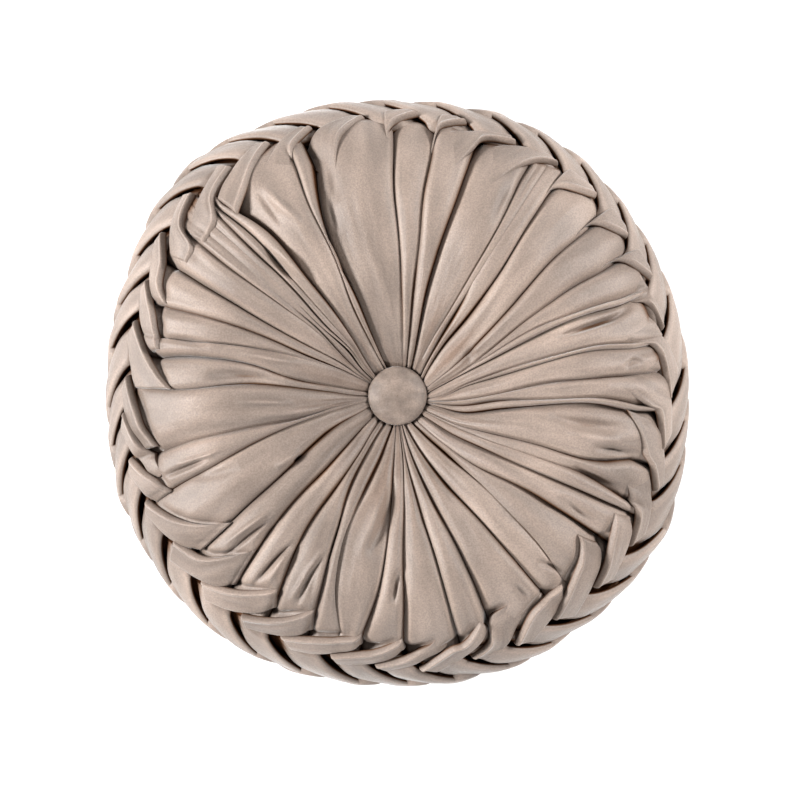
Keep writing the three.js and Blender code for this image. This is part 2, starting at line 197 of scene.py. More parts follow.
# The folds of the first ring, which the panels end in: the outer edge and the inner edge, each
# a path of bearing and reach from where the fold leaves its panel to its tip, how high the
# inner edge stands above the panel at the tip, and the height of the tip
FIRST_FOLDS = [
    ([(7.8, 170), (8.2, 182), (8.7, 192.5), (9.6, 194.3), (12.4, 194.7)],
     [(8.3, 170), (8.9, 182.8), (11.5, 187.5), (14.6, 191.1)], 2.5, 3),
    ([(8.6, 182.4), (15, 189.3), (23.9, 195.6)],
     [(12.2, 153.4), (14.4, 162.4), (17.3, 176.9), (19.3, 185.2), (25.7, 190.4)], 3, 1),
    ([(18.8, 181), (25, 190.5), (32.9, 196.9)],
     [(22.4, 147.9), (24.3, 158.2), (26.7, 169.3), (29.2, 179.7), (31.7, 187.3),
      (35.4, 192.4)], 3, 1),
    ([(36.3, 166), (36.7, 182), (37.3, 193.8), (38.4, 195.3), (43.6, 195.6)],
     [(36.9, 166), (37.4, 178.6), (41.5, 184.5), (45.6, 190.4)], 3, 3),
    ([(48.2, 166), (48.5, 182), (49, 194), (50, 195.3), (54, 194.5)],
     [(48.8, 166), (48.9, 177.7), (52.2, 184), (56.1, 190)], 3, 3),
    ([(58.1, 167), (58.4, 181), (58.9, 192.5), (59.9, 193.8), (63.3, 193.5)],
     [(58.6, 167), (59, 178), (62.2, 184.5), (66, 190.4)], 3, 3),
    ([(61, 185.2), (67, 190.5), (73.8, 193.5)],
     [(67.5, 171.4), (69.1, 179), (70.7, 184.5), (76.9, 187.7)], 2.5, 1),
    ([(71.5, 181), (78, 190), (85.1, 195.6)],
     [(75.9, 149.3), (76.9, 159.6), (78.5, 171.8), (80.6, 182), (91.9, 187.1)], 3, 1),
    ([(80, 180.4), (89, 189), (98.2, 192.4)],
     [(86.3, 145.8), (89.2, 158.2), (92.9, 173.2), (94.6, 180.5), (102.4, 185.9)], 3, 1.5),
    ([(96, 180.4), (102, 189.5), (108.9, 195.6)],
     [(94.1, 161.7), (99.1, 170), (104, 175.8), (106, 182), (111, 190.4)], 3.5, 1),
    ([(105.8, 181.7), (112.5, 192), (119.8, 198.3)],
     [(110, 170), (114.9, 179.6), (117.1, 186), (123.7, 191.1)], 3.5, 1),
    ([(117.8, 185.2), (123.5, 192.5), (130.7, 197.6)],
     [(118.8, 171.8), (122.5, 175.8), (126.2, 179.7), (130.3, 185.7), (134.8, 189.7)], 3.5, 2),
    ([(126.8, 175.5), (127.9, 181.5), (131.4, 187), (141.6, 198)],
     [(128, 160), (129.2, 164.4), (132.6, 170.5), (137.2, 176.4), (145.6, 188)], 3.5, 2),
    ([(140.2, 180.5), (142.4, 186.8), (151.2, 196)],
     [(139, 175.5), (143.2, 174.6), (149, 178), (155, 191)], 3, 1.5),
    ([(149.6, 175.5), (155.6, 190.4), (161.1, 195.6)],
     [(150.6, 166), (157.3, 170), (159.8, 183.5), (164.4, 189.7)], 2, 1),
    ([(158.6, 177.6), (165, 188.5), (171.8, 194.9)],
     [(160, 168), (165.2, 178.4), (168.5, 180), (175.5, 190)], 3, 1.5),
    ([(168.7, 179.7), (175.5, 188), (182.5, 192.8)],
     [(170, 170), (173, 177), (179, 182.5), (184.8, 187.5)], 3, 1.5),
    ([(178, 179.5), (185, 188.5), (192.6, 192.4)],
     [(178.8, 171), (185.2, 178.4), (188, 180.5), (194.4, 185.2)], 3, 1.5),
    ([(187.7, 177.8), (195.5, 188), (202.6, 192.8)],
     [(188.3, 169), (194, 174.6), (199, 178.5), (205.9, 185)], 3, 1.5),
    ([(199.3, 175.8), (205.5, 186.5), (213.1, 193.1)],
     [(200.9, 160.5), (205, 170), (209, 177.5), (215.1, 186)], 3, 2),
    ([(209.2, 172.5), (215.5, 187), (222.9, 195.7)],
     [(211.4, 159), (215.5, 168), (219.8, 176.5), (226.4, 185.7)], 3, 2),
    ([(219.9, 175.8), (226, 187.5), (233.8, 195)],
     [(221.9, 146.5), (226, 162.4), (230, 175.4), (236.7, 183.1)], 3, 2),
    ([(231, 175.8), (237, 187), (244.4, 193.5)],
     [(231.8, 145.8), (236.5, 164.5), (241, 176.6), (247, 187.7)], 3, 1.5),
    ([(245.2, 184.5), (249, 189.5), (253.6, 193.7)],
     [(246.4, 171.5), (250.1, 175.8), (252.5, 181), (256.5, 187.7)], 3, 2),
    ([(250.1, 178.3), (256, 187.3), (262.6, 192.8)],
     [(251, 172.5), (255, 176), (259.5, 181), (266.3, 187.3)], 3, 1.5),
    ([(257, 185.2), (263.5, 189), (270.8, 191.1)],
     [(257.4, 171.4), (262, 176.3), (266.7, 179), (274, 185)], 2.5, 1.5),
    ([(271, 179.7), (276, 186), (282.5, 190.4)],
     [(270.9, 155.2), (275, 165.1), (279.5, 174.8), (285.8, 185.7)], 3, 2),
    ([(279.3, 173.2), (285.5, 184.5), (292.2, 191.7)],
     [(280.4, 166), (287.3, 174), (290.6, 179.7), (294.6, 188.2)], 3, 2),
    ([(289.9, 179), (295, 189.5), (302.1, 197.6)],
     [(291, 170), (295, 179), (299.4, 183.5), (304.8, 194.4)], 1.5, 2),
    ([(300.9, 183.8), (306.6, 195), (313, 202.3)],
     [(301.6, 170), (305.6, 173), (308, 186.5), (314.6, 195.6)], 2, 2),
    ([(306.8, 179.7), (314, 192), (322.2, 200.7)],
     [(307.8, 168), (313.6, 172), (317, 184), (323.9, 191.7)], 2, 2),
    ([(317.2, 182.4), (323, 192), (330.8, 199)],
     [(318.2, 165.1), (322, 172), (326, 180.5), (333.1, 193.1)], 2, 2),
    ([(327.5, 175), (331.5, 186), (336, 194), (340.3, 196.2)],
     [(334.4, 166), (335.6, 176), (338, 185.5), (342.3, 191.7)], 2.5, 1.5),
    ([(337.6, 178), (338.9, 185.4), (341.3, 189.3), (344.6, 192.3), (350.9, 194.9)],
     [(343.8, 153), (345, 165), (346.5, 175.6), (348.4, 182.4), (353.4, 191.1)], 3, 1.5),
    ([(357.6, 170), (357.4, 182), (357.3, 192.8), (358.2, 194.3), (362.5, 194.9)],
     [(358, 170), (358.3, 182), (361, 187.3), (364.4, 191.1)], 2.5, 3),
]

# Other rings, from the edge of the first to the back: where a ring begins and ends, in spans of
# a ring, and how far its strands run along the rim, in pleats
RINGS = [
    ("rim_ring_2", 0.8, 2.35, -1.15),
    ("rim_ring_3", 1.95, 3.35, 1.1),
    ("rim_ring_4", 2.95, 4.3, -1.1),
    ("rim_ring_5", 3.85, 5.25, 1.15),
]
RIM_REACH = 171.0
RING_COUNT = 5
RING_OVERLAP = 2.2
RING_LEAD = 0.25
RING_STEP = 0.82
RING_SEEDS = 50

# Soft troughs (negative) and ridges (positive) of the face: a path of bearing and reach, the
# width of its two sides, before and after, or of both, and its height. The face's height counts
# them WRINKLE_SCALE times
WRINKLE_SCALE = 2.0
WRINKLES = [
    ([(69.7, 177), (71.1, 162), (71.3, 149), (70.9, 116)], 2.6, 1.6, -4.2),
    ([(180.8, 147), (180.4, 138), (179.3, 121)], 1.6, 2.6, -3),
    ([(190.3, 115), (187, 92), (183.3, 69), (182.5, 56)], 5, 4, -3),
    ([(192.5, 118), (190.5, 92), (188.5, 66)], 4, 1.5),
    ([(237, 86), (237.6, 77)], 1.2, -3.5),
    ([(238.5, 100), (239, 88), (239.5, 76)], 2.5, 1.8),
    ([(275.8, 132), (276.3, 112), (276.8, 95), (278, 78)], 4.5, 4, -3.2),
    ([(327, 171), (328, 152), (330.8, 133)], 2, 3, 2),
    ([(205.2, 165), (205.6, 140), (204, 122)], 2, -2),
    ([(201.5, 160), (202.5, 140), (203.8, 122)], 2, 1.4),
    ([(207.3, 165), (206.4, 140), (205, 118)], 2, 1.4),
    ([(216.8, 168), (216, 140), (214.3, 122)], 1.6, -2.4),
    ([(212.2, 155), (213, 135), (214, 122)], 1.6, -1.6),
    ([(214.2, 160), (214.4, 140), (214.2, 127)], 2, 1.6),
    ([(226.5, 168), (226, 140), (224.5, 120)], 1.6, -2.2),
    ([(222.8, 145), (223.3, 130), (224, 121)], 1.6, -1.8),
    ([(250.2, 172), (250.5, 155), (251.2, 137)], 1.6, 2.2, -3),
    ([(251.8, 160), (251.7, 140), (252.5, 125)], 1.8, 1.6),
    ([(147.4, 169), (148.4, 156)], 1.6, -1.6),
    ([(137, 172), (138.5, 160), (140.5, 152)], 1.8, -1.8),
    ([(122.6, 172), (123, 156), (122.6, 132)], 4, -3),
    ([(104.3, 174), (104.6, 158), (105.6, 140)], 1.8, 2.4, -3),
    ([(98.6, 162), (99.4, 145), (99.4, 125), (97.6, 105)], 3.5, 4, -3.2),
    ([(102, 158), (102.6, 140), (102.4, 120)], 3.5, 3, 2),
    ([(111.4, 122), (112.6, 142), (113, 160), (113.2, 178)], 3, -2.8),
    ([(83, 172), (82.2, 166), (84, 158)], 2, -1.8),
    ([(87.5, 146), (88, 128), (88.4, 112)], 3.5, -1.6),
    ([(284.4, 134), (284, 150), (283.2, 165)], 2.5, -2),
    ([(317.6, 138), (317.2, 122), (317.2, 106)], 2, -2.2),
    ([(320.3, 132), (320.6, 115), (321, 100)], 2.2, 1.6),
    ([(341, 152), (340.6, 135), (340, 118)], 2, -1.6),
    ([(343.6, 168), (343, 155), (343, 138)], 2.2, -1.6),
    ([(325.5, 170), (325.6, 155), (325.6, 140)], 2, -1.4),
    ([(28.5, 168), (28.6, 150), (29.2, 135)], 1.4, -1.2),
    ([(57, 62), (60, 58), (66, 52)], 3, -1.6),
    ([(245, 120), (246, 140), (247, 155)], 3, -1.2),
    ([(261, 104), (260.6, 84), (259.8, 62), (259, 40)], 3, 1.8),
    ([(267, 112), (266.6, 92), (265, 72)], 2.2, 1.9),
    ([(284.6, 112), (285.6, 92), (287.6, 70)], 2.2, 1.7),
    ([(228.6, 160), (228.2, 140), (227, 118)], 1.8, 1.7),
]

# Troughs along the outer and the inner edge of the first ring's folds: the stretch of the edge as
# shares, how far out the trough lies from it, the width of its two sides and its height
TROUGHS = [(0.1, 0.85, 0.6, 1.6, 1.6, -5.0), (0.05, 0.95, -0.6, 1.8, 3.2, -4.5)]
TROUGHS_FROM = (85, 120)
TROUGHS_TO = (285, 310)

# Small helpers


def smooth(value, low, high):
    """Smooth step from 0 at low to 1 at high."""
    part = np.clip((np.asarray(value, float) - low) / (high - low), 0.0, 1.0)
    return part * part * (3.0 - 2.0 * part)


def spline(points, steps):
    """Catmull-Rom curve through the points, as an array with so many steps for each stretch."""
    points = np.array(points, float)
    ends = np.array([2 * points[0] - points[1], *points, 2 * points[-1] - points[-2]])
    part = (np.arange(steps) / steps)[:, None]
    stretches = [
        0.5 * (2 * start + (end - before) * part
               + (2 * before - 5 * start + 4 * end - after) * part ** 2
               + (3 * start - before - 3 * end + after) * part ** 3)
        for before, start, end, after in zip(ends, ends[1:], ends[2:], ends[3:])]
    return np.concatenate([*stretches, ends[-2:-1]])


def track(stations, values, at, steps=12):
    """Smooth value at a station through a table's columns."""
    return np.interp(at, *spline(list(zip(stations, values)), steps).T)


def distances(curve, widened=1.0):
    """Distance along a curve to each of its points, with its first column widened."""
    steps = np.diff(curve, axis=0)
    return np.concatenate([[0.0], np.cumsum(np.hypot(steps[:, 0] * widened, steps[:, 1]))])


def eased(steps, pull):
    """Shares from 0 to 1 that lie closer together towards both ends."""
    even = np.linspace(0, 1, steps)
    return even - pull * np.sin(2 * np.pi * even)


def rounding(distance, radius):
    """Height of a rounded edge at a distance from it: 0 at the edge, 1 past the radius."""
    return np.sqrt(1 - (1 - np.clip(distance / radius, 0, 1)) ** 2)


def noise(x, y, z, seed):
    """Smooth, repeatable unevenness between about -1 and 1, from sums of waves."""
    waves = np.random.RandomState(seed).uniform(-1.0, 1.0, (7, 4))
    total = np.zeros(np.broadcast(x, y, z).shape)
    for wave in waves:
        total = total + np.sin(wave[0] * x + wave[1] * y + wave[2] * z + wave[3] * 9.0)
    return total / 3.5


# The surface of the crests

section = spline([(reach, THICKNESS - drop) for reach, drop in CROSS_SECTION], 40)
section_arc = distances(section)
section_slope = np.gradient(section, section_arc, axis=0)
widest = int(np.argmax(section[:, 0]))


def at_arc(arc, table):
    """Both columns of a table of the crest line at an arc: reach and height, or their slope."""
    return [np.interp(arc, section_arc, column) for column in table.T]


def arc_at(reach):
    """Arc along the crest line where the face side passes a reach."""
    return np.interp(reach, section[:widest + 1, 0], section_arc[:widest + 1])


def back_arc_at(reach):
    """Arc along the crest line where the back side passes a reach."""
    return np.interp(-reach, -section[widest:, 0], section_arc[widest:])


RING_START = arc_at(RIM_REACH)
RING_SPAN = (back_arc_at(RIM_REACH) - RING_START) / RING_COUNT


def outline_stretch(bearing):
    """How much further than the mean the outline reaches in a direction, as a share."""
    bearings, reaches = np.array([*OUTLINE, (360.0, OUTLINE[0][1])]).T
    wrapped = np.mod(bearing, 360.0)
    index = np.clip(np.searchsorted(bearings, wrapped, side="right") - 1, 0, len(OUTLINE) - 1)
    part = smooth(wrapped, bearings[index], bearings[index + 1])
    reach = reaches[index] + (reaches[index + 1] - reaches[index]) * part
    return reach / MEAN_REACH - 1.0


def camera_share(height):
    """How far a height is from the camera, as a share of the rim's distance."""
    return 1.0 - (height - RIM_HEIGHT) * MM / CAMERA_RISE


def crest_point(bearing, arc, rise):
    """Point on the crest surface, raised along its normal, in millimetres."""
    reach, height = at_arc(arc, section)
    run, climb = at_arc(arc, section_slope)
    length = np.hypot(run, climb)
    stretched = reach * (1.0 + outline_stretch(bearing) * smooth(reach, *UNEVEN))
    return place(bearing, stretched - climb / length * rise, height + run / length * rise)


def place(bearing, reach, height):
    """Polar to x, y and z, with the tufted middle a little off the outline's middle."""
    angle = np.radians(bearing)
    shifted = 1.0 - smooth(reach, SEAT_REACH, TUFT_REACH)
    x = reach * np.sin(angle) + TUFT_X * shifted
    y = reach * np.cos(angle) + TUFT_Y * shifted
    return np.stack(np.broadcast_arrays(x, y, height), axis=-1)


def seen_arc(bearing, seen):
    """Arc on the crest line for a reach as the camera sees it."""
    reach = seen
    for _ in range(3):
        true = seen * camera_share(at_arc(arc_at(reach), section)[1])
        reach = true / (1.0 + outline_stretch(bearing) * smooth(true, *UNEVEN))
    return arc_at(reach)


# Meshes


def add_mesh(name, points, faces, folds, lay):
    """A smooth mesh object from points in millimetres, with its faces pointing out.

    Fold holds each point's painted shade and painted highlight, lay where it is across and along
    its pleat."""
    mesh = bpy.data.meshes.new(name)
    mesh.from_pydata((np.asarray(points) * MM).tolist(), [], faces)
    values = mesh.attributes.new("fold", "FLOAT", "POINT")
    values.data.foreach_set("value", np.asarray(folds, np.float32).reshape(-1))
    places = mesh.attributes.new("lay", "FLOAT_VECTOR", "POINT")
    places.data.foreach_set("vector", np.asarray(lay, np.float32).reshape(-1))
    shell = bmesh.new()
    shell.from_mesh(mesh)
    bmesh.ops.recalc_face_normals(shell, faces=shell.faces)
    shell.to_mesh(mesh)
    shell.free()
    mesh.shade_smooth()
    piece = bpy.data.objects.new(name, mesh)
    bpy.context.collection.objects.link(piece)
    return piece


def closed_grid(rows, columns):
    """Quads of a grid that closes on itself along its columns."""
    row = np.arange(rows - 1)[:, None] * columns
    column = np.arange(columns)[None, :]
    after = (column + 1) % columns
    quads = [row + column, row + after, row + columns + after, row + columns + column]
    return np.stack(np.broadcast_arrays(*quads), axis=-1).reshape(-1, 4)


def pleat_lay(across, along, seed):
    """Across and along a pleat in millimetres and a number for the pleat, for each point."""
    return np.stack(np.broadcast_arrays(across, along, seed), axis=-1).astype(float)


def add_sheet(name, grid, folds, lay, inward, centre):
    """A closed body under a grid of points, whose border turns in to meet at a centre."""
    rows, columns = grid.shape[:2]
    points = grid.reshape(-1, 3)
    quads = closed_grid(rows, columns).reshape(rows - 1, columns, 4)[:, :-1].reshape(-1, 4)
    column = np.arange(columns - 1)
    border = np.concatenate([
        column, np.arange(1, rows) * columns - 1, rows * columns - 1 - column,
        np.arange(rows - 1, 0, -1) * columns,
    ])
    sunk = len(points) + np.arange(len(border))
    middle = np.full(len(border), len(points) + len(border))
    sides = np.stack([np.roll(border, -1), border, sunk, np.roll(sunk, -1)], axis=-1)
    fan = np.stack([np.roll(sunk, -1), sunk, middle], axis=-1)
    inner = points[border] + np.array([0.0, 0.0, inward])
    every = np.concatenate([points, inner, [centre]])
    # The turned-in sides and the centre are painted in the darkest shade
    shade = np.concatenate([folds.reshape(-1), np.ones(len(border) + 1)])
    lay = np.concatenate([lay.reshape(-1, 3), np.zeros((len(border) + 1, 3))])
    return add_mesh(name, every, quads.tolist() + sides.tolist() + fan.tolist(), shade, lay)


def add_tubes(name, tubes):
    """One object of many closed tubes, each a grid of rings with its painted shade and its lay.
    """
    points, folds, lays, faces = [], [], [], []
    start = 0
    for grid, shade, lay in tubes:
        rows, columns = grid.shape[:2]
        ends = np.stack([grid[0].mean(axis=0), grid[-1].mean(axis=0)])
        points.append(np.concatenate([grid.reshape(-1, 3), ends]))
        folds.append(np.concatenate([shade.reshape(-1), [0.5, 0.5]]))
        lays.append(np.concatenate([lay.reshape(-1, 3), lay[0, :1], lay[-1, :1]]))
        ring = np.arange(columns)
        after = (ring + 1) % columns
        last = (rows - 1) * columns
        first_end = np.full(columns, rows * columns)
        faces += (closed_grid(rows, columns) + start).tolist()
        faces += (np.stack([first_end, after, ring], axis=-1) + start).tolist()
        faces += (np.stack([first_end + 1, last + ring, last + after], axis=-1) + start).tolist()
        start += rows * columns + 2
    return add_mesh(name, np.concatenate(points), faces, np.concatenate(folds),
                    np.concatenate(lays))


def open_end(bearing):
    """How much further out the panels stay up at a bearing."""
    further = 0.0
    for start, full, fading, stop in OPEN_ENDS:
        turned = np.mod(np.asarray(bearing) - start, 360.0)
        rising = smooth(turned, 0, full - start)
        further = further + rising * (1 - smooth(turned, fading - start, stop - start))
    return OPEN_END_REACH * further


def fold_troughs():
    """Wrinkle rows for the shadowed troughs along both edges of each first-ring fold."""
    troughs = []
    for outer, inner, *_ in FIRST_FOLDS:
        bearing = outer[0][0]
        strength = smooth(bearing, *TROUGHS_FROM) * (1 - smooth(bearing, *TROUGHS_TO))
        if strength < 0.05:
            continue
        for edge, (first, last, shift, before, after, depth) in zip((outer, inner), TROUGHS):
            curve = spline(edge, 12)
            path = curve[int(len(curve) * first):int(len(curve) * last):4] + (0, shift)
            troughs.append((path, before, after, depth * strength))
    return troughs


def wrinkle_rise(x, y, wrinkles):
    """Height that a table of wrinkles adds at x and y."""
    rise = np.zeros(x.shape)
    for path, *widths, height in wrinkles:
        bearings, reaches = np.array(path, float).T
        curve = spline(place(bearings, reaches, 0.0)[:, :2], 8)
        low = curve.min(axis=0) - max(widths) * 3.0
        high = curve.max(axis=0) + max(widths) * 3.0
        near = (x > low[0]) & (x < high[0]) & (y > low[1]) & (y < high[1])

        # Distance, side and share of the way at the nearest stretch of the path
        steps = np.diff(curve, axis=0)
        lengths = np.hypot(*steps.T)
        run_x, run_y = (steps / lengths[:, None]).T[..., None]
        off_x = x[near] - curve[:-1, :1]
        off_y = y[near] - curve[:-1, 1:]
        part = np.clip(off_x * run_x + off_y * run_y, 0.0, lengths[:, None])
        off_x = off_x - run_x * part
        off_y = off_y - run_y * part
        distance = np.hypot(off_x, off_y)
        nearest = np.argmin(distance, axis=0), np.arange(distance.shape[1])
        side = (run_x * off_y - run_y * off_x)[nearest]
        along = ((distances(curve)[:-1, None] + part) / lengths.sum())[nearest]

        # Paths run outward or inward, so the side is judged by the turn about the middle
        outward = np.hypot(*curve[-1]) > np.hypot(*curve[0])
        clockwise = side < 0 if outward else side > 0
        width = np.where(clockwise, widths[-1], widths[0])
        taper = np.sin(np.pi * np.clip(along, 0.0, 1.0))
        rise[near] += height * taper * np.exp(-(distance[nearest] / width) ** 2)
    return rise


def fold_profile(share):
    """Across, overhang and drop of one side of a crease, where a share of it is a lip."""
    knots = np.linspace(0, 1, len(FOLD_PROFILE))
    at = np.linspace(0, 1, SIDE_COLUMNS)
    lip_across, lip_drop, slope_across, slope_drop = (
        track(knots, values, at, 8) for values in zip(*FOLD_PROFILE))
    inside = np.where(lip_across > 0, lip_across, 0) * share + slope_across * (1 - share)
    beyond = np.where(lip_across < 0, lip_across, 0) * share
    return inside, beyond, lip_drop * share + slope_drop * (1 - share)


def face_surface(arcs, troughs):
    """Bearing, rise, painted shade and highlight (fold) and lay of the pleated face, with a row
    of panels for each arc.

    The columns run from the bottom of a crease over the panel to just before the next."""
    reaches, heights = at_arc(arcs, section)
    seen = reaches / camera_share(heights)
    bearing, depth, over = np.zeros((3, len(arcs), len(CREASES), 1))
    full = CREASE_DEPTH[0] + (CREASE_DEPTH[1] - CREASE_DEPTH[0]) * smooth(reaches, *CREASE_GROWTH)
    mixed = smooth(seen, 60, 120)
    for index, row in enumerate(CREASES):
        bearing[:, index, 0] = track(STATIONS, row[:7], seen)
        strength = np.clip(track(DEPTH_STATIONS, row[7:11], seen), 0, 1)
        depth[:, index, 0] = strength ** (0.6 + 0.4 * smooth(seen, 60, 110)) * full
        near_middle, near_rim = row[11:] or (-1, -1)
        over[:, index, 0] = near_middle * (1 - mixed) + near_rim * mixed
    panel = np.arange(len(CREASES))[None, :, None]
    arc, reach, height, seen, full = (
        values[:, None, None] for values in (arcs, reaches, heights, seen, full))
    bearing += 0.22 * noise(panel * 3.0, arc * 0.09, 0.0, 11) * smooth(seen, 20, 60)

    after = np.roll(bearing, -1, axis=1)
    after[:, -1] += 360.0
    width = np.radians(after - bearing) * reach
    over_after = np.roll(over, -1, axis=1)

    def side(depth_here, lip_share):
        inside, beyond, drop = fold_profile(lip_share)
        strong = depth_here / full
        wide = SLOPE_WIDTH + (LIP_WIDTH - SLOPE_WIDTH) * lip_share
        reach_in = np.minimum(wide * (0.45 + 0.55 * strong), 0.46 * width)
        hang = LIP_OVERHANG * strong * np.minimum(1.0, width / 6.0)
        return inside * reach_in + beyond * hang, drop * depth_here

    start_across, start_drop = side(depth, (1 + over) / 2)
    end_across, end_drop = side(np.roll(depth, -1, axis=1), (1 - over_after) / 2)
    first = start_across[..., ::-1]
    last = width - end_across
    parts = np.linspace(0, 1, CROWN_COLUMNS + 2)[1:-1]
    crown = first[..., -1:] + (last[..., :1] - first[..., -1:]) * parts
    across = np.concatenate([first, crown, last[..., :-1]], axis=-1)
    drop = np.concatenate([start_drop[..., ::-1], 0 * crown, end_drop[..., :-1]], axis=-1)

    share = across / np.maximum(width, 0.1)
    part = drop / np.maximum(full, 0.1)
    rounder = 1 + ROUNDER * np.exp(-((bearing - ROUNDEST) / ROUNDER_SPREAD) ** 2)
    swell = SWELL * (rounder * width) * np.abs(2 * share - 1) ** 2.1
    swell = swell + TILT * width * ((over_after - over) / 2) * (share - 0.5)
    turn = bearing + np.degrees(across / reach)
    x, y = np.moveaxis(crest_point(turn, arc, 0.0), -1, 0)[:2]
    seen_at = (x / camera_share(height), y / camera_share(height))
    creased = WRINKLE_SCALE * wrinkle_rise(*seen_at, WRINKLES) + wrinkle_rise(*seen_at, troughs)
    rise = -drop - swell + creased
    for wave_height, often, seed in FACE_WAVES:
        rise = rise + wave_height * noise(x * often, y * often, 0.0, seed)
    number = panel * 3.7
    drawn = noise(share * 11.0 + number, arc * 0.035, number, 6)
    fine = noise(share * 19.0 - number, arc * 0.06, number * 1.7, 8)
    pulled = 0.3 + 0.5 * (1 - smooth(reach, 50, 110)) + 0.8 * smooth(reach, 130, 170)
    rise = rise + (0.5 * drawn + 0.28 * fine) * (pulled * np.minimum(1.0, width / 14.0))
    rise = rise + HUB_RISE * (1 - smooth(reach, 22, 40))
    rise = rise + 1.1 * noise(number * 1.9, arc * 0.02, 4.0, 9) * (1 - np.clip(part, 0, 1))

    # Painted highlight on folded edges, painted shade inside the creases
    edge = np.exp(-((part - 0.09) / 0.07) ** 2)
    opening = smooth(reach, 60, 110)
    painted_crease_shade = smooth((part - 0.1 - 0.07 * opening) / (0.5 + 0.2 * opening), 0, 1)
    folds = 1.1 * painted_crease_shade * smooth(drop, 0.5, 2.0) - 0.4 * edge
    # Painted shade where the face turns in under the first ring
    folds = folds + 0.9 * smooth(reach - open_end(turn), 178, 188)
    # Painted shade in the dish around the button
    folds = folds + PAINTED_DISH_SHADE * (1 - smooth(reach, 40, 120))
    # Painted shade in the wrinkle troughs, painted highlight on their ridges
    folds = folds + 0.6 * smooth(-creased, 4.2, 9) - 0.4 * smooth(creased, 1.2, 4.2)
    # Patches of painted light and painted shade
    for turn_at, reach_at, turn_wide, reach_wide, amount in PAINTED_LIGHT_PATCHES:
        turned = (np.mod(turn - turn_at + 180, 360) - 180) / turn_wide
        folds = folds + amount * np.exp(-turned ** 2 - ((reach - reach_at) / reach_wide) ** 2)
    lay = pleat_lay(share * width[np.argmin(np.abs(reaches - 120))], arc, panel * LAY_STEP)
    return turn, rise, folds, lay


def face_rise_map():
    """How high the face stands over the crests, on even steps of arc and bearing."""
    arcs = np.linspace(*arc_at(MAP_REACHES), MAP_ROWS)
    turn, rise = face_surface(arcs, [])[:2]
    level = []
    for around, values in zip(turn.reshape(MAP_ROWS, -1), rise.reshape(MAP_ROWS, -1)):
        order = np.argsort(around)
        wrapped = np.concatenate([around[order] + lap for lap in (-360, 0, 360)])
        level.append(np.interp(np.arange(0, 360, MAP_STEP), wrapped, np.tile(values[order], 3)))
    return arcs, np.array(level)


def face_rise(bearing, arc):
    """The face's height over the crests at bearings and arcs."""
    arcs, level = rise_map
    row = np.clip((arc - arcs[0]) / (arcs[1] - arcs[0]), 0, len(arcs) - 1.001)
    column = np.mod(bearing, 360.0) / MAP_STEP
    low_row = row.astype(int)
    low_column = column.astype(int) % level.shape[1]
    high_column = (low_column + 1) % level.shape[1]
    part = column - column.astype(int)

    def along_row(line):
        return level[line, low_column] * (1 - part) + level[line, high_column] * part

    return along_row(low_row) * (1 - row + low_row) + along_row(low_row + 1) * (row - low_row)


def build_face():
    """The pleated face: panels with rounded, overlapping folds between the creases."""
    arcs = np.linspace(0.0, arc_at(FACE_EDGE), FACE_ROWS)[:, None, None]
    turn, rise, folds, lay = face_surface(arcs[:, 0, 0], fold_troughs())
    turned_in = smooth(arcs - open_end(turn), *arc_at(FACE_TURN_IN))
    points = crest_point(turn, arcs, rise - FACE_TURN_DEPTH * turned_in)

    # The two halves meet at the bottom of a crease
    around = turn[0].size
    cut = FACE_SPLIT * turn.shape[2]
    parts = [part.reshape(FACE_ROWS, around, -1) for part in (points, folds, lay)]
    pieces = []
    for name, first, last in (("cushion_face_1", 0, cut), ("cushion_face_2", cut, around)):
        chosen = np.arange(first, last + 1) % around
        middle = place(np.mean(turn[0].reshape(-1)[first:last]), *FACE_MIDDLE)
        half = [part[:, chosen] for part in parts]
        pieces.append(add_sheet(name, *half, FACE_INSIDE, middle))
    return pieces


STRAND_STEPS = 36
STRAND_AROUND = 26
STRAND_ROUNDING = 4.0
STRAND_CROWN = 4.4
STRAND_BASE = 1.4
STRAND_LEVEL = 3.3
STRAND_SLOPE = 5.2
STRAND_WIDTH = 22.0


